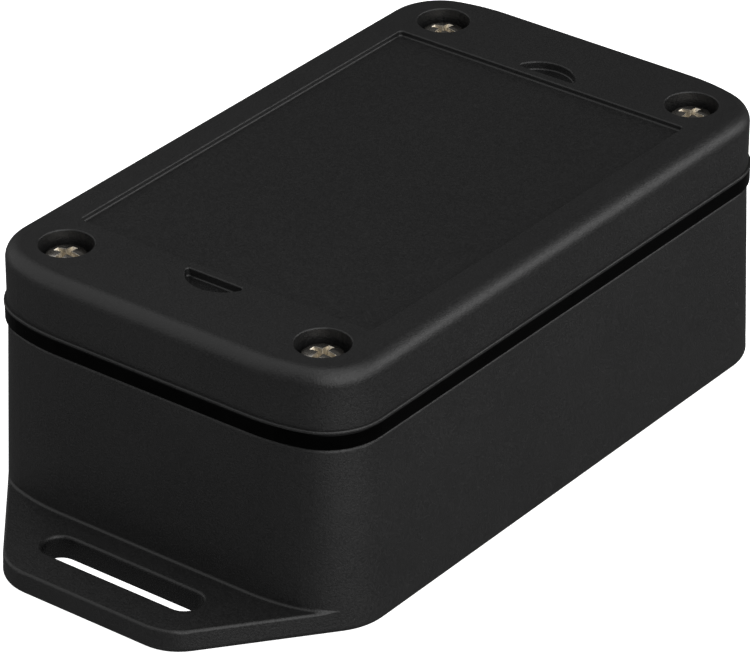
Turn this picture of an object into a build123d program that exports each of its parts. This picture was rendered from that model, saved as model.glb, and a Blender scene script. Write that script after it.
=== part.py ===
from build123d import *
from math import acos, asin, atan2, cos, degrees, hypot, radians, sin, tan
import os

# Small flanged project box in black moulded plastic, in millimetres.
# X runs along the box, Z is up, and the origin is the centre of the underside.
# A screwed lid sits on a soft gasket, and both ends of the base carry a slotted flange.

# Outline of the lid wall, which every other outline of the box follows at a distance.
# Its corners are compound: a wide arc next to each end runs into a tight one.
BOX_LENGTH = 99.8
BOX_WIDTH = 59.7
CORNER_TIGHT = 8.6
CORNER_WIDE = 27.8
CORNER_TURN = 16.0      # angle of the wide arc

# Heights
BOX_HEIGHT = 38.4
LID_HEIGHT = 8.6
GASKET_HEIGHT = 2.5
FLOOR = 2.6
BEHIND = 1.0            # how far a cutter runs past the face that it opens

# Lid
LIP_HEIGHT = 0.35
LIP_OUT = 0.4           # the lip stands this far out from the lid wall
LIP_ROUND = 0.2
TOP_ROUND = 2.0
LID_WALL = 3.0
LID_PLATE = 3.0
INNER_ROUND = 0.8

# Face of the lid: a sunk field for a label, and a half-moon pocket at each end of it
PANEL_END = 14.85       # from the end of the lid to the field
PANEL_SIDE = 5.63
PANEL_DEPTH = 0.8
PANEL_CORNER = 0.6
PANEL_FOOT = 0.25
POCKET_RADIUS = 5.2
POCKET_CENTRE = 0.35    # centre of the pocket's round side, inside the field's end
POCKET_FLAT = 1.45      # straight side of the pocket, beyond the field's end
POCKET_TIP = 0.5
POCKET_DEPTH = 1.2
EDGE_BREAK = 0.2

# Base
BASE_IN = 0.1           # the base wall's rim stands this far inside the lid wall
BASE_DRAFT = 1.8        # the walls widen downwards
BASE_WALL = 3.0
FLOOR_ROUND = 1.2
FOOT_ROUND = 0.8
RIM_ROUND = 0.6

# Mounting flanges at both ends
FLANGE_WIDTH = 14.8     # from the end of the lid wall to the outer edge
FLANGE_FLAT = 20.6      # straight part of the outer edge
FLANGE_CORNER = 7.4
FLANGE_THICK = 3.4
FLANGE_ROUND = 0.4
SLOT_OUT = 6.8          # middle of the slot from the end of the lid wall
SLOT_LENGTH = 26.1
SLOT_WIDTH = 4.9

# Lid screws and the threaded inserts that take them
SCREW_IN = 8.6          # screw axis inside the end of the lid wall
SCREW_SIDE = 8.55       # screw axis inside the side of the lid wall
HEAD_DIAMETER = 5.6
HEAD_HEIGHT = 2.4
HEAD_EDGE = 1.7         # straight rim of the head under its dome
HEAD_SUNK = 1.0         # top of the head below the top of the lid
SHANK_DIAMETER = 3.0
SHANK_LENGTH = 12.0
TIP_CHAMFER = 0.45
CROSS_SPAN = 4.2
CROSS_WIDTH = 1.0
CROSS_DEPTH = 1.5
CROSS_TAPER = 12.0
SINK_DIAMETER = 7.5     # counterbore around the head
SINK_WALL = 1.5
SHANK_GAP = 0.08        # running clearance around the shank
INSERT_DIAMETER = 4.2
INSERT_LENGTH = 5.0
INSERT_COLLAR = 5.0
INSERT_COLLAR_HEIGHT = 0.6
INSERT_GROOVE = 0.35
INSERT_GROOVE_HEIGHT = 0.7
BOSS_WALL = 1.3
BOSS_DEPTH = 12.0
BOSS_CORE = 3.4
COLUMN_BLEND = 0.98     # share of a column's radius that rounds its inner corner

# Gasket seat, and the tongues that centre the lid in the base
BEAD_WIDTH = 1.0
BEAD_HEIGHT = 1.0
BEAD_IN = 0.95          # from the base wall's outer face to the bead
GASKET_OUT = 0.4        # the gasket stands this far out from the base wall
GASKET_ROUND = 0.35
TONGUE_THICK = 1.4
TONGUE_DEPTH = 2.6      # below the rim of the base
TONGUE_GAP = 0.3
TONGUE_ROOT = 3.0       # height of the tongue's thicker root on the lid wall
TONGUE_CLEAR_X = 10.3   # from a screw axis to the end of the long tongue
TONGUE_CLEAR_Y = 8.3

# Circuit board posts on the floor
POST_IN_X = 10.3        # from a screw axis to the post
POST_IN_Y = 4.3
POST_DIAMETER = 5.0
POST_HEIGHT = 5.0
POST_HOLE = 2.0
POST_HOLE_DEPTH = 4.5
POST_RIB = 1.0
POST_RIB_REACH = 2.0

# Sizes and places that follow from those above
HALF_X, HALF_Y = BOX_LENGTH / 2, BOX_WIDTH / 2
LID_BOTTOM = BOX_HEIGHT - LID_HEIGHT
RIM_TOP = LID_BOTTOM - GASKET_HEIGHT
SEAT = BOX_HEIGHT - HEAD_SUNK - HEAD_HEIGHT
CEILING = BOX_HEIGHT - LID_PLATE
SCREW_X, SCREW_Y = HALF_X - SCREW_IN, HALF_Y - SCREW_SIDE
SCREWS = [(-SCREW_X, -SCREW_Y), (SCREW_X, -SCREW_Y), (SCREW_X, SCREW_Y), (-SCREW_X, SCREW_Y)]
POSTS = [(x * (SCREW_X - POST_IN_X), y * (SCREW_Y - POST_IN_Y)) for x in (-1, 1) for y in (-1, 1)]
BOSS_RADIUS = INSERT_COLLAR / 2 + BOSS_WALL
TURN = radians(CORNER_TURN)
TIGHT_X = HALF_X - CORNER_WIDE + (CORNER_WIDE - CORNER_TIGHT) * cos(TURN)
TIGHT_Y = HALF_Y - CORNER_TIGHT
WIDE_X = HALF_X - CORNER_WIDE
WIDE_Y = TIGHT_Y - (CORNER_WIDE - CORNER_TIGHT) * sin(TURN)
NEAR = 0.01


def closed(quarter):
    """Face whose outline repeats one quarter's arcs in all four, joined by lines.

    An arc is given by its centre, its radius, the angle it starts at and the angle it spans.
    """
    arcs = []
    for turn, sx, sy in ((0, 1, 1), (90, -1, 1), (180, -1, -1), (270, 1, -1)):
        for (x, y), radius, start, span in (quarter if sx == sy else quarter[::-1]):
            begin = turn + start if sx == sy else turn + 90 - start - span
            arcs.append(CenterArc((sx * x, sy * y), radius, begin, span))
    edges = []
    for arc, after in zip(arcs, arcs[1:] + arcs[:1]):
        edges.append(arc)
        if (arc @ 1 - after @ 0).length > NEAR:
            edges.append(Line(arc @ 1, after @ 0))
    return make_face(edges)


def outline(grow=0.0):
    """Outline of the lid wall, grown evenly on every side."""
    return closed([((WIDE_X, WIDE_Y), CORNER_WIDE + grow, 0, CORNER_TURN),
                   ((TIGHT_X, TIGHT_Y), CORNER_TIGHT + grow, CORNER_TURN, 90 - CORNER_TURN)])


def foot_outline():
    """Underside of the base: box corners and smaller flange corners, joined by tangents."""
    big = CORNER_TIGHT - BASE_IN + RIM_TOP * tan(radians(BASE_DRAFT))
    flange = (HALF_X + FLANGE_WIDTH - FLANGE_CORNER, FLANGE_FLAT / 2)
    dx, dy = flange[0] - TIGHT_X, flange[1] - TIGHT_Y
    lean = degrees(atan2(dy, dx) + acos((big - FLANGE_CORNER) / hypot(dx, dy)))
    return closed([(flange, FLANGE_CORNER, 0, lean), ((TIGHT_X, TIGHT_Y), big, lean, 90 - lean)])


def prism(sketch, bottom, height, taper=0.0):
    """Sketch raised from one height; a taper leans its walls inwards as they rise."""
    return extrude(Pos(0, 0, bottom) * sketch, amount=height, taper=taper)


def rod(x, y, bottom, height, diameter):
    return Pos(x, y, bottom + height / 2) * Cylinder(diameter / 2, height)


def level_edges(solid, z):
    """Edges that lie flat at one height."""
    return solid.edges().filter_by(lambda e: abs(e.bounding_box().min.Z - z) < NEAR
                                   and abs(e.bounding_box().max.Z - z) < NEAR)


def column_plans(radius, reach):
    """Plans of the four screw columns, each a round post that fills the corner behind it."""
    width, depth = HALF_X + reach - SCREW_X + radius, HALF_Y + reach - SCREW_Y + radius
    plans = []
    for x, y in SCREWS:
        sx, sy = (1 if x > 0 else -1), (1 if y > 0 else -1)
        block = Pos(x + sx * (width / 2 - radius), y + sy * (depth / 2 - radius)) * Rectangle(width, depth)
        inner = block.vertices().sort_by_distance((0, 0, 0))[0]
        plans.append(fillet(inner, radius * COLUMN_BLEND) & outline(reach))
    return plans


def bead(grow):
    """Raised bead along the rim of the base; grow makes the groove that takes it."""
    outer = -BASE_IN - BEAD_IN + grow
    ring = outline(outer) - outline(outer - BEAD_WIDTH - 2 * grow)
    return prism(ring, RIM_TOP, BEAD_HEIGHT + grow)


def base():
    """Moulded base: drafted walls, end flanges, screw columns and board posts in one piece."""
    shell = prism(foot_outline(), 0, FLANGE_THICK, BASE_DRAFT)
    grow = (RIM_TOP - FLANGE_THICK) * tan(radians(BASE_DRAFT)) - BASE_IN
    walls = prism(outline(grow), FLANGE_THICK, RIM_TOP - FLANGE_THICK, BASE_DRAFT)
    shell += fillet(level_edges(walls, RIM_TOP), RIM_ROUND)
    shell = fillet(level_edges(shell, 0), FOOT_ROUND)
    slot = Rot(0, 0, 90) * SlotOverall(SLOT_LENGTH, SLOT_WIDTH)
    for side in (-1, 1):
        shell -= prism(Pos(side * (HALF_X + SLOT_OUT), 0) * slot, -BEHIND, FLANGE_THICK + 2 * BEHIND)
    shell = fillet(level_edges(shell, FLANGE_THICK), FLANGE_ROUND)

    cavity = prism(outline(-BASE_IN - BASE_WALL), FLOOR, RIM_TOP)
    shell -= fillet(level_edges(cavity, FLOOR), FLOOR_ROUND)
    for plan in column_plans(BOSS_RADIUS, -BASE_IN - BASE_WALL / 2):
        shell += prism(plan, FLOOR / 2, RIM_TOP - FLOOR / 2)
    shell += bead(0)
    for x, y in SCREWS:
        shell += rod(x, y, RIM_TOP / 2, LID_BOTTOM - RIM_TOP / 2, 2 * BOSS_RADIUS)
        shell -= rod(x, y, LID_BOTTOM - BOSS_DEPTH, BOSS_DEPTH, BOSS_CORE)
        shell -= rod(x, y, LID_BOTTOM - INSERT_LENGTH, INSERT_LENGTH, INSERT_DIAMETER)
        shell -= rod(x, y, LID_BOTTOM - INSERT_COLLAR_HEIGHT, INSERT_COLLAR_HEIGHT, INSERT_COLLAR)
    for x, y in POSTS:
        shell += board_post(x, y)
        shell -= rod(x, y, FLOOR + POST_HEIGHT - POST_HOLE_DEPTH, POST_HOLE_DEPTH, POST_HOLE)
    return shell


def board_post(x, y):
    """Round post with thin ribs that stiffen its foot."""
    post = rod(x, y, FLOOR / 2, POST_HEIGHT + FLOOR / 2, POST_DIAMETER)
    rib, tall = POST_DIAMETER + 2 * POST_RIB_REACH, (FLOOR + POST_HEIGHT) / 2
    for length, width in ((rib, POST_RIB), (POST_RIB, rib)):
        post += Pos(x, y, FLOOR / 2 + tall / 2) * Box(length, width, tall)
    return post


def lid():
    """Moulded lid: lip, wall, sunk field, half-moon pockets, screw columns and tongues."""
    lip = prism(outline(LIP_OUT), LID_BOTTOM, LIP_HEIGHT)
    lip = fillet(level_edges(lip, LID_BOTTOM + LIP_HEIGHT), LIP_ROUND)
    shell = lip + fillet(level_edges(prism(outline(), LID_BOTTOM, LID_HEIGHT), BOX_HEIGHT), TOP_ROUND)

    hollow = prism(outline(-LID_WALL), LID_BOTTOM - BEHIND, CEILING - LID_BOTTOM + BEHIND)
    shell -= fillet(level_edges(hollow, CEILING), INNER_ROUND)
    for column in column_plans(SINK_DIAMETER / 2 + SINK_WALL, -LID_WALL / 2):
        shell += prism(column, LID_BOTTOM, CEILING + LID_PLATE / 2 - LID_BOTTOM)
    shell += tongues()

    field = RectangleRounded(BOX_LENGTH - 2 * PANEL_END, BOX_WIDTH - 2 * PANEL_SIDE, PANEL_CORNER)
    panel = prism(field, BOX_HEIGHT - PANEL_DEPTH, PANEL_DEPTH)
    shell -= fillet(level_edges(panel, BOX_HEIGHT - PANEL_DEPTH), PANEL_FOOT)
    for side in (0, 180):
        shell -= Rot(0, 0, side) * pocket()
    for x, y in SCREWS:
        shell -= rod(x, y, SEAT, BOX_HEIGHT - SEAT, SINK_DIAMETER)
        shell -= rod(x, y, LID_BOTTOM - BEHIND, SEAT, SHANK_DIAMETER + 2 * SHANK_GAP)
    rims = [e for e in level_edges(shell, BOX_HEIGHT)
            if abs(e.center().X) < HALF_X - TOP_ROUND - EDGE_BREAK
            and abs(e.center().Y) < HALF_Y - TOP_ROUND - EDGE_BREAK]
    return fillet(rims, EDGE_BREAK)


def pocket():
    """Half-moon pocket: a disc cut by a straight side, with small round tips."""
    end = HALF_X - PANEL_END
    disc = Pos(end - POCKET_CENTRE, 0) * Circle(POCKET_RADIUS)
    cut = Pos(end + POCKET_FLAT + POCKET_RADIUS, 0) * Rectangle(2 * POCKET_RADIUS, 3 * POCKET_RADIUS)
    moon = disc & cut
    moon = fillet(moon.vertices(), POCKET_TIP)
    cutter = prism(moon, BOX_HEIGHT - POCKET_DEPTH, POCKET_DEPTH)
    return fillet(level_edges(cutter, BOX_HEIGHT - POCKET_DEPTH), PANEL_FOOT)


def tongues():
    """Four ribs inside the lid wall that reach down into the base."""
    ribs = None
    low, high = RIM_TOP - TONGUE_DEPTH, LID_BOTTOM + TONGUE_ROOT
    sides = ((HALF_Y, 2 * (SCREW_X - TONGUE_CLEAR_X), 0), (HALF_X, 2 * (SCREW_Y - TONGUE_CLEAR_Y), 90))
    for half, along, turn in sides:
        face = half - BASE_IN - BASE_WALL - TONGUE_GAP
        inside, root = face - TONGUE_THICK, half - LID_WALL / 2
        for side in (-1, 1):
            middle = Pos(0, side * (face - TONGUE_THICK / 2), (low + high) / 2)
            blade = middle * Box(along, TONGUE_THICK, high - low)
            blade = chamfer(blade.edges().filter_by(Axis.Y).group_by(Axis.Z)[0], TONGUE_THICK)
            foot = Pos(0, side * (inside + root) / 2, (LID_BOTTOM + high) / 2)
            rib = Rot(0, 0, turn) * (blade + foot * Box(along, root - inside, TONGUE_ROOT))
            ribs = rib if ribs is None else ribs + rib
    return ribs


def gasket():
    """Soft ring between the rim and the lid, grooved underneath to sit on the bead."""
    body = prism(outline(GASKET_OUT - BASE_IN) - outline(-BASE_IN - BASE_WALL), RIM_TOP, GASKET_HEIGHT)
    outside = [e for e in level_edges(body, RIM_TOP) + level_edges(body, LID_BOTTOM)
               if e.distance_to(Vector(0, 0, e.center().Z)) > HALF_Y]
    return fillet(outside, GASKET_ROUND) - bead(0)


def screw(x, y):
    """Pan head screw with a cross recess; the shank is plain and as wide as its thread."""
    head, shank = HEAD_DIAMETER / 2, SHANK_DIAMETER / 2
    top, edge, tip = SEAT + HEAD_HEIGHT, SEAT + HEAD_EDGE, SEAT - SHANK_LENGTH
    rise = HEAD_HEIGHT - HEAD_EDGE
    dome = (head ** 2 + rise ** 2) / (2 * rise)
    half = degrees(asin(head / dome))
    profile = Polyline((0, top), (0, tip), (shank - TIP_CHAMFER, tip), (shank, tip + TIP_CHAMFER),
                       (shank, SEAT), (head, SEAT), (head, edge))
    crown = CenterArc((0, top - dome), dome, 90 - half, half)
    body = revolve(Plane.XZ * make_face([profile, crown]), Axis.Z)
    cross = Rectangle(CROSS_SPAN, CROSS_WIDTH) + Rectangle(CROSS_WIDTH, CROSS_SPAN)
    recess = extrude(Pos(0, 0, top) * cross, amount=-CROSS_DEPTH, taper=CROSS_TAPER)
    return Pos(x, y) * (body - recess)


def insert(x, y):
    """Threaded brass insert, flush with the top of its boss."""
    bottom = LID_BOTTOM - INSERT_LENGTH
    body = rod(0, 0, bottom, INSERT_LENGTH, INSERT_DIAMETER)
    body += rod(0, 0, LID_BOTTOM - INSERT_COLLAR_HEIGHT, INSERT_COLLAR_HEIGHT, INSERT_COLLAR)
    middle = bottom + INSERT_LENGTH / 2
    groove = rod(0, 0, middle, INSERT_GROOVE_HEIGHT, INSERT_COLLAR)
    groove -= rod(0, 0, middle, INSERT_GROOVE_HEIGHT, INSERT_DIAMETER - 2 * INSERT_GROOVE)
    body -= groove
    body -= rod(0, 0, bottom - BEHIND, INSERT_LENGTH + 2 * BEHIND, SHANK_DIAMETER + 2 * SHANK_GAP)
    return Pos(x, y) * body


os.makedirs("parts", exist_ok=True)
export_step(base(), "parts/base.step")
export_step(lid(), "parts/lid.step")
export_step(gasket(), "parts/gasket.step")
for number, (sx, sy) in enumerate(SCREWS, 1):
    export_step(screw(sx, sy), f"parts/lid_screw_{number}.step")
    export_step(insert(sx, sy), f"parts/insert_{number}.step")
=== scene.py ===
# %% [markdown]
# # A small flanged project box
# The real object is a black moulded box for a circuit: a base with a slotted flange at each end, a
# soft gasket, and a lid that four screws hold down. Its solid shapes come from a CAD model, so this
# lesson is about all that the solids lack: the camera and the light, the grain of moulded plastic,
# the black rubber, and the small turned parts, which are modelled here with their threads and knurls.
# The CAD model is loaded first, because every piece finds its place from it.

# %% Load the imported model
import math

import bpy
from mathutils import Matrix, Vector


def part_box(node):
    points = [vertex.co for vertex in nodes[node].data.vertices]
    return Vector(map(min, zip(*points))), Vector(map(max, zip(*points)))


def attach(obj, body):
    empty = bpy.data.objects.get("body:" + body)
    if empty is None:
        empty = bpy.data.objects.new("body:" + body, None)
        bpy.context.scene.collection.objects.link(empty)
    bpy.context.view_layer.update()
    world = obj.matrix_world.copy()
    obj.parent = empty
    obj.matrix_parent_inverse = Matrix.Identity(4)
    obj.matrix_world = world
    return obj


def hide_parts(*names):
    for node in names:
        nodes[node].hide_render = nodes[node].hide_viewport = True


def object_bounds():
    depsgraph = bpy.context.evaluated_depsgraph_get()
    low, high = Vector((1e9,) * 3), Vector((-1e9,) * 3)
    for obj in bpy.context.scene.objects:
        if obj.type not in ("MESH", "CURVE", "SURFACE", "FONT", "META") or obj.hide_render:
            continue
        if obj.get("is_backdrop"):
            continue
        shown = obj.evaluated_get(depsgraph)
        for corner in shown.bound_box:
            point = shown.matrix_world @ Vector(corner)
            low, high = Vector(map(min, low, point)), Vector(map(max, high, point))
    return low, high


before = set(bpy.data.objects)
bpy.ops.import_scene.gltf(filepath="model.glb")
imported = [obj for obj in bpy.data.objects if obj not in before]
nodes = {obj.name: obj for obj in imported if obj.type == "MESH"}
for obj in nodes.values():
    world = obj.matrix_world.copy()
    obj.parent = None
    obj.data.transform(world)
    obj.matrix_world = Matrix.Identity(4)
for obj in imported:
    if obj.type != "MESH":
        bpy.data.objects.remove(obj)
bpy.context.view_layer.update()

MM = 0.001
print("nodes:", ", ".join(sorted(nodes)))

# %% [markdown]
# ## The camera
# The photograph looks down at about 30 degrees on one corner, through a long lens, so lines that run
# away hardly converge. Such a view can be found by eye, by moving a camera until edges match, or by
# measuring: the corners of the lid give angles, distance and focal length. Measuring was chosen, and
# the camera's axes are built from the three angles, so that each number keeps its plain meaning.

# %% Camera
PHOTO_WIDTH = 750
SENSOR_WIDTH = 36.0
FOCAL_PX = 5115.26
YAW, PITCH, ROLL = math.radians(-52.6452), math.radians(29.8731), math.radians(0.0932)
EYE = Vector((-0.482706, -0.366535, 0.362617))


def camera_axes(yaw, pitch, roll):
    """The camera's right, up and backward directions for a look down at the object."""
    back = Vector((math.sin(yaw) * math.cos(pitch), -math.cos(yaw) * math.cos(pitch), math.sin(pitch)))
    level = Vector((math.cos(yaw), math.sin(yaw), 0.0))
    rise = back.cross(level)
    right = level * math.cos(roll) + rise * math.sin(roll)
    up = rise * math.cos(roll) - level * math.sin(roll)
    return right, up, back


lens = bpy.data.cameras.new("photo_lens")
lens.sensor_width = SENSOR_WIDTH
lens.lens = FOCAL_PX * SENSOR_WIDTH / PHOTO_WIDTH
lens.clip_start = 0.05
camera = bpy.data.objects.new("photo_camera", lens)
bpy.context.scene.collection.objects.link(camera)
turned = Matrix(camera_axes(YAW, PITCH, ROLL)).transposed().to_4x4()
camera.matrix_world = Matrix.Translation(EYE) @ turned
bpy.context.scene.camera = camera
print("lens", round(lens.lens, 1), "mm, distance", round(EYE.length, 3), "m")

# %% [markdown]
# ## Writing shaders as sums
# A finish is a net of nodes. It can be wired by hand in the editor, but a long net is easier to read
# as a formula. A small class stands for one wire: adding or multiplying wires adds the Math nodes.
# A second class keeps the material, and has one method that adds any other node.

# %% Wires and finishes


class Wire:
    """One output of a node. Sums and products of wires add Math nodes."""

    def __init__(self, finish, socket):
        self.finish, self.socket = finish, socket

    def math(self, operation, first, second):
        return self.finish.node("ShaderNodeMath", {"operation": operation}, {0: first, 1: second})

    def __add__(self, other):
        return self.math("ADD", self, other)

    def __sub__(self, other):
        return self.math("SUBTRACT", self, other)

    def __rsub__(self, other):
        return self.math("SUBTRACT", other, self)

    def __mul__(self, other):
        return self.math("MULTIPLY", self, other)

    def __rmul__(self, other):
        return self.math("MULTIPLY", other, self)

    def __abs__(self):
        return self.math("ABSOLUTE", self, 0.0)

    def below(self, limit):
        """One where the number is below the limit, else zero."""
        return self.math("LESS_THAN", self, limit)


class Finish:
    """A material with a Principled shader, and the nodes that lead into it."""

    def __init__(self, name, **constants):
        self.material = bpy.data.materials.new(name)
        self.material.use_nodes = True
        self.tree = self.material.node_tree
        self.shader = self.tree.nodes["Principled BSDF"]
        self.use(**constants)
        self.place = self.node("ShaderNodeTexCoord", {}, {}, "Object")

    def feed(self, socket, value):
        """Joins a wire to a socket, or sets the socket to a fixed value."""
        if isinstance(value, Wire):
            self.tree.links.new(value.socket, socket)
        else:
            socket.default_value = value

    def node(self, kind, settings, sockets, output=0):
        """Any node: its kind, its settings, what its sockets get, and the output that is used."""
        made = self.tree.nodes.new(kind)
        for name, value in settings.items():
            setattr(made, name, value)
        for key, value in sockets.items():
            self.feed(made.inputs[key], value)
        return Wire(self, made.outputs[output])

    def noise(self, size, detail=2.0, roughness=0.5):
        """Cloudy noise from 0 to 1, whose clouds are about size metres wide."""
        return self.node("ShaderNodeTexNoise", {}, {"Vector": self.place, "Scale": 1.0 / size,
                                                    "Detail": detail, "Roughness": roughness})

    def between(self, factor, low, high):
        """A number that runs from low to high as factor runs over its middle part."""
        return self.node("ShaderNodeMapRange", {"clamp": True}, {"Value": factor, "From Min": 0.3,
                                                                 "From Max": 0.7, "To Min": low,
                                                                 "To Max": high})

    def blend(self, factor, first, second):
        """A colour between two colours."""
        sockets = {0: factor, 6: (*first, 1.0), 7: (*second, 1.0)}
        return self.node("ShaderNodeMix", {"data_type": "RGBA"}, sockets, 2)

    def use(self, **wires):
        """Feeds the shader's sockets, whose names are written with an underscore for each space."""
        for name, wire in wires.items():
            self.feed(self.shader.inputs[name.replace("_", " ")], wire)
        return self

    def bumps(self, height, depth, strength):
        """Small relief: height from 0 to 1 stands for depth metres."""
        relief = self.node("ShaderNodeBump", {}, {"Strength": strength, "Distance": depth, "Height": height})
        return self.use(Normal=relief)


print("a finish is a Principled shader and the wires that feed it")

# %% [markdown]
# ## Moulded black plastic
# Such a box is moulded in a tool whose faces were roughened by sparks, so the plastic has a fine even
# grain that breaks highlights into specks and spreads them wide. The grain could be a picture, but
# noise on the object's own coordinates needs no unwrapping and has the same size on every face. Two
# sizes make the relief: specks of a third of a millimetre, and the softer unevenness of the skin
# under them. Wider patches only shift the colour a little.
#
# Some places are smoother than the rest, so they mirror less of the wide lights and look darker: the
# label field in the lid a touch, and more so the floors of the half-moon pockets and the walls of the
# slots, which smooth pins had formed. Each place is a box in the object's own coordinates, and a
# number that is one inside the box and zero outside takes its share from the roughness. In the
# pockets and slots the same number also holds the colour at its darkest end: painted shade for the
# shade that falls in these hollows.

# %% Plastic
PLASTIC_DARK, PLASTIC_LIGHT = (0.0043, 0.0043, 0.0044), (0.0070, 0.0070, 0.0070)
SPECK_SIZE, SKIN_SIZE, PATCH_SIZE = 0.32 * MM, 1.4 * MM, 14 * MM
GRAIN_DEPTH = 0.060 * MM
SMOOTH_GRAIN, ROUGH_GRAIN = 0.36, 0.58
FIELD_SMOOTHER, POCKET_SMOOTHER, SLOT_SMOOTHER = 0.04, 0.15, 0.22
# Limits in mm: from and to along the box, out to each side, from and to in height
FIELD_PLACE = (0.0, 35.05, 24.22, 37.0, 39.0)
POCKET_PLACE = (35.6, 41.0, 6.0, 37.1, 37.3)
SLOT_PLACE = (54.0, 59.4, 13.3, -1.0, 2.9)

plastic = Finish("black_plastic", Specular_IOR_Level=0.47)
specks = plastic.noise(SPECK_SIZE, 2.0, 0.7)
skin = plastic.noise(SKIN_SIZE, 3.0)
patches = plastic.noise(PATCH_SIZE, 2.0)
grain = plastic.between(0.6 * specks + 0.4 * patches, 0.0, 1.0)
relief = 0.8 * specks + 0.2 * skin

split = plastic.node("ShaderNodeSeparateXYZ", {}, {0: plastic.place})
axis_x, axis_y, axis_z = (Wire(plastic, socket) for socket in split.socket.node.outputs)
along, across = abs(axis_x), abs(axis_y)


def inside(place):
    """One inside a box that is mirrored to both ends and both sides, else zero."""
    near_end, far_end, side, bottom, top = (limit * MM for limit in place)
    return ((along.below(far_end) - along.below(near_end)) * across.below(side)
            * (axis_z.below(top) - axis_z.below(bottom)))


in_field, pocket_smooth_and_shaded, slot_smooth_and_shaded = inside(FIELD_PLACE), inside(POCKET_PLACE), inside(SLOT_PLACE)
gloss = (plastic.between(relief, SMOOTH_GRAIN, ROUGH_GRAIN) - FIELD_SMOOTHER * in_field
         - POCKET_SMOOTHER * pocket_smooth_and_shaded - SLOT_SMOOTHER * slot_smooth_and_shaded)
# In the pockets and slots the colour is held at its darkest: painted shade in these hollows
colour = plastic.blend(grain * (1.0 - pocket_smooth_and_shaded - slot_smooth_and_shaded), PLASTIC_DARK, PLASTIC_LIGHT)
plastic.use(Base_Color=colour, Roughness=gloss)
plastic.bumps(relief, GRAIN_DEPTH, 1.0)
print("plastic nodes:", len(plastic.tree.nodes))

# %% [markdown]
# ## Gasket rubber
# The gasket is a moulded ring of black rubber. It is far darker than the plastic and has no grain, so
# it only needs a colour near black, a weak mirror and a faint cloudiness in its gloss.

# %% Rubber
RUBBER_DARK, RUBBER_LIGHT = (0.0001, 0.0001, 0.0001), (0.0004, 0.0004, 0.0004)

rubber = Finish("gasket_rubber", Specular_IOR_Level=0.06)
cloud = rubber.noise(3.0 * MM, 3.0)
dust = rubber.noise(0.12 * MM, 1.0)
shade = rubber.between(0.5 * cloud + 0.5 * dust, 0.0, 1.0)
rubber.use(Base_Color=rubber.blend(shade, RUBBER_DARK, RUBBER_LIGHT),
           Roughness=rubber.between(cloud, 0.26, 0.38))
rubber.bumps(dust, 0.008 * MM, 0.3)
print("rubber nodes:", len(rubber.tree.nodes))

# %% [markdown]
# ## Nickel on the screws, and brass
# The screws are steel with a thin nickel coat, which looks warm and bright next to black plastic. The
# turned outside is smooth enough to mirror the dark walls round it. The recess is struck by a punch
# and then plated, so its walls are duller and spread the light. Their nickel is also given a paler,
# warmer colour than the turned nickel: painted light that stands in for the light bouncing round
# inside the recess, so that it shows up as a pale cross. Metal has no colour of its own under the
# gloss: a metallic shader tints what it mirrors.

# %% Metals


def plating(name, dark, pale, glossy, dull):
    """Nickel whose tint drifts between two colours, and its gloss between two values."""
    finish = Finish(name, Metallic=1.0)
    tarnish = finish.noise(0.9 * MM, 3.0)
    scuffs = finish.noise(0.10 * MM, 2.0, 0.7)
    finish.use(Base_Color=finish.blend(finish.between(tarnish, 0.0, 1.0), dark, pale),
               Roughness=finish.between(0.5 * tarnish + 0.5 * scuffs, glossy, dull))
    return finish.bumps(scuffs, 0.006 * MM, 0.3)


nickel = plating("nickel_plate", (0.44, 0.41, 0.37), (0.60, 0.57, 0.52), 0.12, 0.24)
# The struck nickel's paler, warmer colour is painted light for the bounce inside the recess
struck_nickel_painted_light = plating("struck_nickel_painted_light", (0.53, 0.480, 0.395), (0.66, 0.61, 0.52), 0.32, 0.44)

brass = Finish("turned_brass", Metallic=1.0)
swarf = brass.noise(0.15 * MM, 2.0, 0.7)
stain = brass.noise(1.2 * MM, 2.0)
brass.use(Base_Color=brass.blend(brass.between(stain, 0.0, 1.0), (0.60, 0.42, 0.17), (0.80, 0.62, 0.30)),
          Roughness=brass.between(swarf, 0.24, 0.40))
brass.bumps(swarf, 0.008 * MM, 0.35)
print("metals:", ", ".join(finish.material.name for finish in (nickel, struck_nickel_painted_light, brass)))

# %% [markdown]
# ## Dressing the CAD nodes
# The base, the lid and the gasket already have the right shape, so their nodes stay as they are and
# only get a finish. A material is given to a node by filling its slots.

# %% Give the nodes their finish


def dress(thing, finish):
    """Puts one finish on every slot of an object."""
    thing.data.materials.clear()
    thing.data.materials.append(finish.material)


for name, finish in (("base", plastic), ("lid", plastic), ("gasket", rubber)):
    dress(nodes[name], finish)
print("dressed:", [(name, nodes[name].data.materials[0].name) for name in ("base", "lid", "gasket")])

# %% [markdown]
# ## Helpers for modelling
# Operators act on whatever is selected, as they do by hand, so each step first clears the selection.
# The parts of a mesh are then picked in code by where they are. A finished pattern is copied to the
# place of its CAD node by moving the copy's mesh, because a CAD node's mesh holds its place too.

# %% Modelling helpers
NEAR = 0.001 * MM


def clear_selection():
    for thing in bpy.context.selected_objects:
        thing.select_set(False)


def fresh(name):
    """Names the primitive that was just added, applies its transform, and gives it back."""
    made = bpy.context.object
    made.name = made.data.name = name
    bpy.ops.object.transform_apply(location=True, rotation=True, scale=True)
    return made


def open_mesh(thing, kind, action):
    """Opens a mesh in edit mode for faces, edges or vertices, with all or none of them selected."""
    bpy.context.view_layer.objects.active = thing
    bpy.ops.object.mode_set(mode="EDIT")
    bpy.ops.mesh.select_mode(type=kind)
    bpy.ops.mesh.select_all(action=action)


def close_mesh():
    bpy.ops.object.mode_set(mode="OBJECT")


def centre_of(mesh, part, kind):
    """The middle of a face, an edge or a vertex."""
    if kind == "FACE":
        return part.center
    if kind == "VERT":
        return part.co
    first, second = part.vertices
    return (mesh.vertices[first].co + mesh.vertices[second].co) / 2


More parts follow.
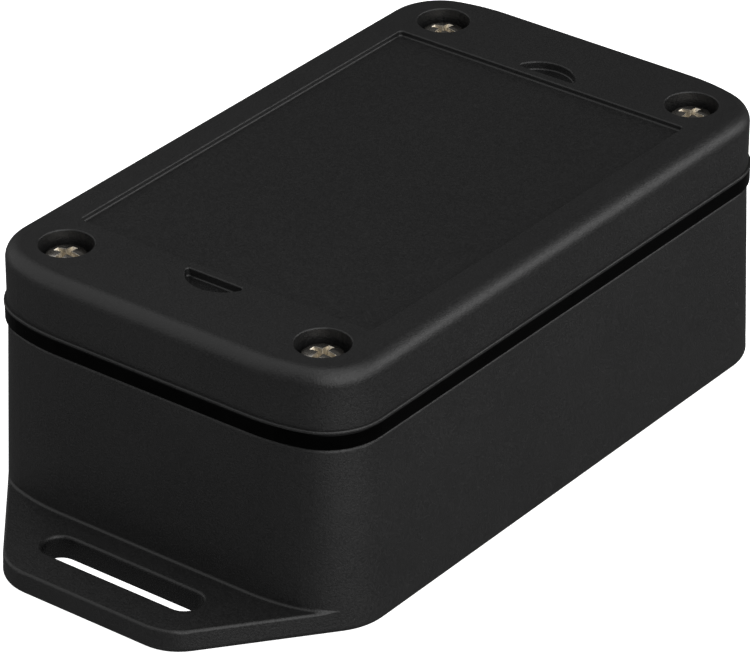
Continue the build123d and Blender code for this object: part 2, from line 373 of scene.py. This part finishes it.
def pick(thing, kind, test):
    """Opens a mesh with those parts selected whose middle passes the test, and counts them."""
    open_mesh(thing, kind, "DESELECT")
    close_mesh()
    mesh = thing.data
    parts = {"FACE": mesh.polygons, "EDGE": mesh.edges, "VERT": mesh.vertices}[kind]
    picked = [part for part in parts if test(centre_of(mesh, part, kind))]
    for part in picked:
        part.select = True
    bpy.ops.object.mode_set(mode="EDIT")
    return len(picked)


def face_outwards():
    """Turns all faces of the open mesh outwards."""
    bpy.ops.mesh.select_all(action="SELECT")
    bpy.ops.mesh.normals_make_consistent(inside=False)


def modify(thing, kind, **settings):
    """Adds a modifier and applies it."""
    bpy.context.view_layer.objects.active = thing
    modifier = thing.modifiers.new(kind.lower(), kind)
    for name, value in settings.items():
        setattr(modifier, name, value)
    bpy.ops.object.modifier_apply(modifier=modifier.name)


def join(*things):
    """Joins several objects into the first one."""
    clear_selection()
    for thing in things:
        thing.select_set(True)
    bpy.context.view_layer.objects.active = things[0]
    bpy.ops.object.join()
    return things[0]


def smooth(thing, degrees):
    """Shades smooth, but keeps edges sharp that bend more than the given angle."""
    clear_selection()
    thing.select_set(True)
    bpy.context.view_layer.objects.active = thing
    bpy.ops.object.shade_smooth_by_angle(angle=math.radians(degrees))


def copy_to(pattern, name, node, height):
    """A copy of the pattern with its own mesh, moved over the middle of a node."""
    low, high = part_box(node)
    piece = bpy.data.objects.new(name, pattern.data.copy())
    bpy.context.scene.collection.objects.link(piece)
    piece.data.transform(Matrix.Translation(((low.x + high.x) / 2, (low.y + high.y) / 2, height)))
    return piece


print("helpers ready")

# %% [markdown]
# ## The lid screws
# Each screw is a pan head with a cross recess on a threaded shank. The head starts as a short
# cylinder. Its top is inset and raised ring by ring along a circle, which is how a lathe would turn
# the dome. The CAD node gives the head's width and the height of the tip.

# %% Screw head
HEAD_HEIGHT, HEAD_EDGE = 2.2 * MM, 1.7 * MM
HEAD_SIDES = 72
DOME_RINGS, DOME_CAP = 7, 0.6      # the cap in the middle is 0.6 of a ring's step in radius
SHANK_LENGTH = 12.0 * MM

low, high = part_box("lid_screw_1")
head_radius = (high.x - low.x) / 2
seat = low.z + SHANK_LENGTH

clear_selection()
bpy.ops.mesh.primitive_cylinder_add(vertices=HEAD_SIDES, radius=head_radius, depth=HEAD_EDGE,
                                    location=(0, 0, HEAD_EDGE / 2))
head = fresh("screw_pattern")
pick(head, "FACE", lambda c: c.z > HEAD_EDGE - NEAR)
rise = HEAD_HEIGHT - HEAD_EDGE
dome = (head_radius ** 2 + rise ** 2) / (2 * rise)
radius, level = head_radius, HEAD_EDGE
for ring in range(1, DOME_RINGS + 1):
    new_radius = head_radius * (1 - ring / (DOME_RINGS + DOME_CAP))
    new_level = HEAD_HEIGHT - dome + math.sqrt(dome ** 2 - new_radius ** 2)
    bpy.ops.mesh.inset(thickness=radius - new_radius, depth=0)
    bpy.ops.transform.translate(value=(0, 0, new_level - level))
    radius, level = new_radius, new_level
close_mesh()
dress(head, nickel)
print("head:", len(head.data.polygons), "faces, top at", round(level / MM, 2), "mm")

# %% [markdown]
# The recess could be built face by face, but a boolean cut gives the same crisp walls with less work.
# Its cutter is two tapered bars, and a square between them, turned by 45 degrees, that cuts back the
# inner corners. Each is a cube whose lower face is scaled in, so the recess narrows as it goes down.
# The bars wear the duller nickel, and the boolean hands it on to the walls that they leave. Points
# that the cuts left almost on top of each other are welded, and a small bevel rounds the rim, which
# makes the thin bright lines of the photograph.

# %% Cross recess
CROSS_SPAN, CROSS_WIDTH, CROSS_DEPTH = 4.3 * MM, 1.0 * MM, 1.5 * MM
CROSS_MIDDLE = 1.52 * MM
CROSS_CLEAR = 0.4 * MM             # how far the cutters stand out above the head
CROSS_TAPER = 0.55                 # width at the bottom as a share of the width at the top
WELD = 0.02 * MM
RIM_ROUND, RIM_ANGLE = 0.06 * MM, math.radians(35)

bottom = HEAD_HEIGHT - CROSS_DEPTH
height = CROSS_DEPTH + CROSS_CLEAR
for span_x, span_y, turn in ((CROSS_SPAN, CROSS_WIDTH, 0), (CROSS_WIDTH, CROSS_SPAN, 0),
                             (CROSS_MIDDLE, CROSS_MIDDLE, 45)):
    clear_selection()
    bpy.ops.mesh.primitive_cube_add(size=1.0, location=(0, 0, bottom + height / 2),
                                    rotation=(0, 0, math.radians(turn)))
    bpy.context.object.scale = (span_x, span_y, height)
    bar = fresh("cross_bar")
    pick(bar, "FACE", lambda c: c.z < bottom + NEAR)
    bpy.ops.transform.resize(value=(CROSS_TAPER, CROSS_TAPER, 1.0), center_override=(0, 0, bottom))
    close_mesh()
    # The bars carry the struck nickel, painted paler as light bouncing inside the recess
    dress(bar, struck_nickel_painted_light)
    modify(head, "BOOLEAN", object=bar, operation="DIFFERENCE", solver="EXACT", material_mode="TRANSFER")
    bpy.data.objects.remove(bar)
open_mesh(head, "VERT", "SELECT")
bpy.ops.mesh.remove_doubles(threshold=WELD)
close_mesh()
modify(head, "BEVEL", width=RIM_ROUND, segments=2, limit_method="ANGLE", angle_limit=RIM_ANGLE,
       use_clamp_overlap=False)
print("head with recess:", len(head.data.polygons), "faces")

# %% [markdown]
# The thread is one small triangle that climbs round the shank. The Screw modifier sweeps it, and its
# rise per turn is the pitch of the thread, 0.5 mm. A plain core fills the middle, and the ridge's
# foot sinks a little into it.

# %% Thread and shank
THREAD_RADIUS, THREAD_PITCH, THREAD_DEPTH = 1.5 * MM, 0.5 * MM, 0.30 * MM
RIDGE_DEPTH, RIDGE_WIDTH = 1.15 * THREAD_DEPTH, 0.92 * THREAD_PITCH
PLAIN_LENGTH, TIP_CHAMFER = 1.2 * MM, 0.45 * MM
CORE_SIDES, RIDGE_STEPS = 40, 32

clear_selection()
bpy.ops.mesh.primitive_cylinder_add(vertices=CORE_SIDES, radius=THREAD_RADIUS - THREAD_DEPTH,
                                    depth=SHANK_LENGTH, location=(0, 0, -SHANK_LENGTH / 2))
core = fresh("shank_core")
pick(core, "FACE", lambda c: c.z < -SHANK_LENGTH + NEAR)
bpy.ops.mesh.bevel(offset=TIP_CHAMFER, segments=1)
close_mesh()

clear_selection()
bpy.ops.mesh.primitive_circle_add(vertices=3, radius=THREAD_DEPTH, fill_type="NOTHING", location=(0, 0, 0))
ridge = fresh("thread_ridge")
start = -SHANK_LENGTH + TIP_CHAMFER
inner = THREAD_RADIUS - RIDGE_DEPTH
profile = ((inner, start), (THREAD_RADIUS, start + RIDGE_WIDTH / 2), (inner, start + RIDGE_WIDTH))
for vertex, (x, z) in zip(ridge.data.vertices, profile):
    vertex.co = (x, 0, z)
turns = int((SHANK_LENGTH - PLAIN_LENGTH - TIP_CHAMFER) / THREAD_PITCH) - 1
modify(ridge, "SCREW", axis="Z", angle=math.tau, screw_offset=THREAD_PITCH, iterations=turns,
       steps=RIDGE_STEPS, render_steps=RIDGE_STEPS, use_merge_vertices=False)
open_mesh(ridge, "EDGE", "DESELECT")
bpy.ops.mesh.select_non_manifold()
bpy.ops.mesh.edge_face_add()
face_outwards()
close_mesh()
print("thread:", turns, "turns,", len(ridge.data.polygons), "faces")

# %% [markdown]
# Head, core and ridge are joined into one pattern screw. It is copied to the four holes, and every
# copy gets its own mesh, moved to its place.

# %% Four screws
for thing in (core, ridge):
    dress(thing, nickel)
pattern = join(head, core, ridge)
smooth(pattern, 32)
for number in range(1, 5):
    node = f"lid_screw_{number}"
    piece = copy_to(pattern, f"screw_{number}", node, seat)
    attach(piece, f"screw_{number}_body")
    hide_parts(node)
bpy.data.objects.remove(pattern)
print("screw faces:", len(piece.data.polygons))
print("screw finishes:", [slot.name for slot in piece.material_slots])

# %% [markdown]
# ## The brass inserts
# The screws bite in brass inserts, pressed hot into the columns of the base. An insert is a tube with
# a collar and two knurled bands that grip the plastic. It starts as a cylinder with many sides, is
# cut into bands, and every second line of points in the bands is drawn in, which makes the teeth.
# The groove, the foot and the neck under the collar are drawn in as well, and the collar outwards.

# %% Insert body
INSERT_RADIUS = 2.1 * MM
COLLAR_HEIGHT, GROOVE_HEIGHT, GROOVE_DEPTH = 0.6 * MM, 0.7 * MM, 0.35 * MM
TEETH = 36
TOOTH_RUN, STEP = 0.25 * MM, 0.02 * MM      # slope at the ends of the bands, and a near-sharp step
VALLEY_SCALE, FOOT_SCALE, NECK_SCALE = 0.92, 0.90, 0.94

low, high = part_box("insert_1")
collar_radius = (high.x - low.x) / 2
insert_foot, insert_height = low.z, high.z - low.z

clear_selection()
bpy.ops.mesh.primitive_cylinder_add(vertices=2 * TEETH, radius=INSERT_RADIUS, depth=insert_height,
                                    location=(0, 0, insert_height / 2))
insert = fresh("insert_pattern")
middle, half_groove, neck = insert_height / 2, GROOVE_HEIGHT / 2, insert_height - COLLAR_HEIGHT
groove = (middle - half_groove, middle + half_groove)
bands = (TOOTH_RUN, groove[0] - STEP, groove[1] + STEP, neck - TOOTH_RUN)
for level in sorted((*bands, *groove, neck - STEP, neck)):
    open_mesh(insert, "VERT", "SELECT")
    bpy.ops.mesh.bisect(plane_co=(0, 0, level), plane_no=(0, 0, 1))
    close_mesh()


def near(value, *targets):
    return any(abs(value - target) < NEAR for target in targets)


def is_valley(point):
    """True for every second line of points round the axis."""
    step = math.atan2(point.y, point.x) / (math.pi / TEETH)
    return round(step) % 2 == 0


def draw_in(test, scale):
    """Scales the picked points towards the axis."""
    count = pick(insert, "VERT", test)
    bpy.ops.transform.resize(value=(scale, scale, 1.0), center_override=(0, 0, 0))
    close_mesh()
    return count


toothed = draw_in(lambda c: near(c.z, *bands) and is_valley(c), VALLEY_SCALE)
draw_in(lambda c: near(c.z, *groove), 1 - GROOVE_DEPTH / INSERT_RADIUS)
draw_in(lambda c: near(c.z, 0.0), FOOT_SCALE)
draw_in(lambda c: near(c.z, neck - STEP), NECK_SCALE)
draw_in(lambda c: near(c.z, neck, insert_height), collar_radius / INSERT_RADIUS)
print("points drawn in for teeth:", toothed)

# %% [markdown]
# The bore is made by insetting the two end faces, deleting what is left in their middles and
# bridging the two rims.

# %% Insert bore
BORE_RADIUS = 1.58 * MM
AXIS_ZONE, RIM_ZONE = 0.2 * MM, BORE_RADIUS + 0.01 * MM


def within(point, radius):
    """True for a point nearer to the axis than the radius."""
    return Vector((point.x, point.y)).length < radius


for end, outer in ((0.0, INSERT_RADIUS * FOOT_SCALE), (insert_height, collar_radius)):
    pick(insert, "FACE", lambda c: near(c.z, end) and within(c, AXIS_ZONE))
    bpy.ops.mesh.inset(thickness=outer - BORE_RADIUS, depth=0)
    close_mesh()
pick(insert, "FACE", lambda c: within(c, AXIS_ZONE))
bpy.ops.mesh.delete(type="ONLY_FACE")
close_mesh()
pick(insert, "EDGE", lambda c: within(c, RIM_ZONE))
bpy.ops.mesh.bridge_edge_loops()
face_outwards()
close_mesh()
smooth(insert, 25)
dress(insert, brass)
print("insert pattern:", len(insert.data.polygons), "faces")

# %% [markdown]
# The inserts belong to the base, so their copies ride with its body.

# %% Four inserts
for number in range(1, 5):
    node = f"insert_{number}"
    piece = copy_to(insert, f"knurled_{node}", node, insert_foot)
    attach(piece, "base_body")
    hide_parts(node)
bpy.data.objects.remove(insert)
print("inserts placed:", number)

# %% [markdown]
# ## Floor
# The photograph has a plain white ground without a shadow, as on a light table. So the floor gives
# off light of its own, and its finish adds only a faint cloudiness. It is hidden from glossy rays,
# because it would mirror in the walls as a grey veil that the photograph doesn't have. It lies a
# hair below the box, so that the two faces don't share a plane.

# %% Floor
FLOOR_SIZE, FLOOR_BELOW = 8.0, 0.02 * MM

floor_finish = Finish("pale_floor", Roughness=0.8, Specular_IOR_Level=0.1,
                      Emission_Color=(1.0, 1.0, 1.0, 1.0), Emission_Strength=1.0)
floor_shade = floor_finish.between(floor_finish.noise(0.2, 2.0), 0.0, 1.0)
floor_finish.use(Base_Color=floor_finish.blend(floor_shade, (0.86, 0.86, 0.86), (0.88, 0.88, 0.88)))

clear_selection()
bpy.ops.mesh.primitive_plane_add(size=FLOOR_SIZE, location=(0, 0, -FLOOR_BELOW))
floor = fresh("floor")
dress(floor, floor_finish)
floor.visible_glossy = False
floor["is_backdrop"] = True
print("floor:", FLOOR_SIZE, "m wide")

# %% [markdown]
# ## Lights
# Black plastic shows its form only by what it mirrors, so the lights matter more than the colour. A
# soft box low on the right, with a smaller core just above it, makes the broad bright line along the
# lid's long edge. One at the back does the same for the short edge. A wide box in front lifts the
# walls and the corner between them, and one overhead lifts the lid's face. To find the strengths,
# each light was rendered alone, and the mix was chosen that came nearest to the photograph's
# brightness. The plain Standard view keeps that brightness as it is.

# %% Lights
AIM = Vector((0, 0, 20 * MM))
SURROUND_STRENGTH = 0.08
# Each box: its name, the direction it comes from, its distance and size in metres, and its watts
SOFT_BOXES = (
    ("right_box", (0.689, -0.66, 0.30), 0.9, 0.60, 2.1),
    ("right_core", (0.6893, -0.58, 0.432), 0.9, 0.50, 0.63),
    ("back_box", (-0.32, 0.64, 0.54), 0.7, 1.25, 3.3),
    ("front_box", (-0.35, -0.85, 0.45), 0.9, 1.25, 11.0),
    ("top_box", (0.1, -0.2, 1.0), 1.2, 0.90, 4.2),
)

for name, towards, distance, size, watts in SOFT_BOXES:
    light = bpy.data.lights.new(name, "AREA")
    light.size, light.energy = size, watts
    lamp = bpy.data.objects.new(name, light)
    bpy.context.scene.collection.objects.link(lamp)
    direction = Vector(towards).normalized()
    lamp.location = AIM + direction * distance
    lamp.rotation_euler = direction.to_track_quat("Z", "Y").to_euler()
    lamp.visible_camera = False

world = bpy.data.worlds.new("studio")
bpy.context.scene.world = world
world.use_nodes = True
surround = world.node_tree.nodes["Background"]
surround.inputs["Color"].default_value = (1.0, 1.0, 1.0, 1.0)
surround.inputs["Strength"].default_value = SURROUND_STRENGTH
bpy.context.scene.view_settings.view_transform = "Standard"

# %% [markdown]
# ## The dressed model's size
# The box round the dressed model is printed, in millimetres.

# %% Size of the dressed model
low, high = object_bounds()
print("visual box in mm:", [round((b - a) / MM, 2) for a, b in zip(low, high)])
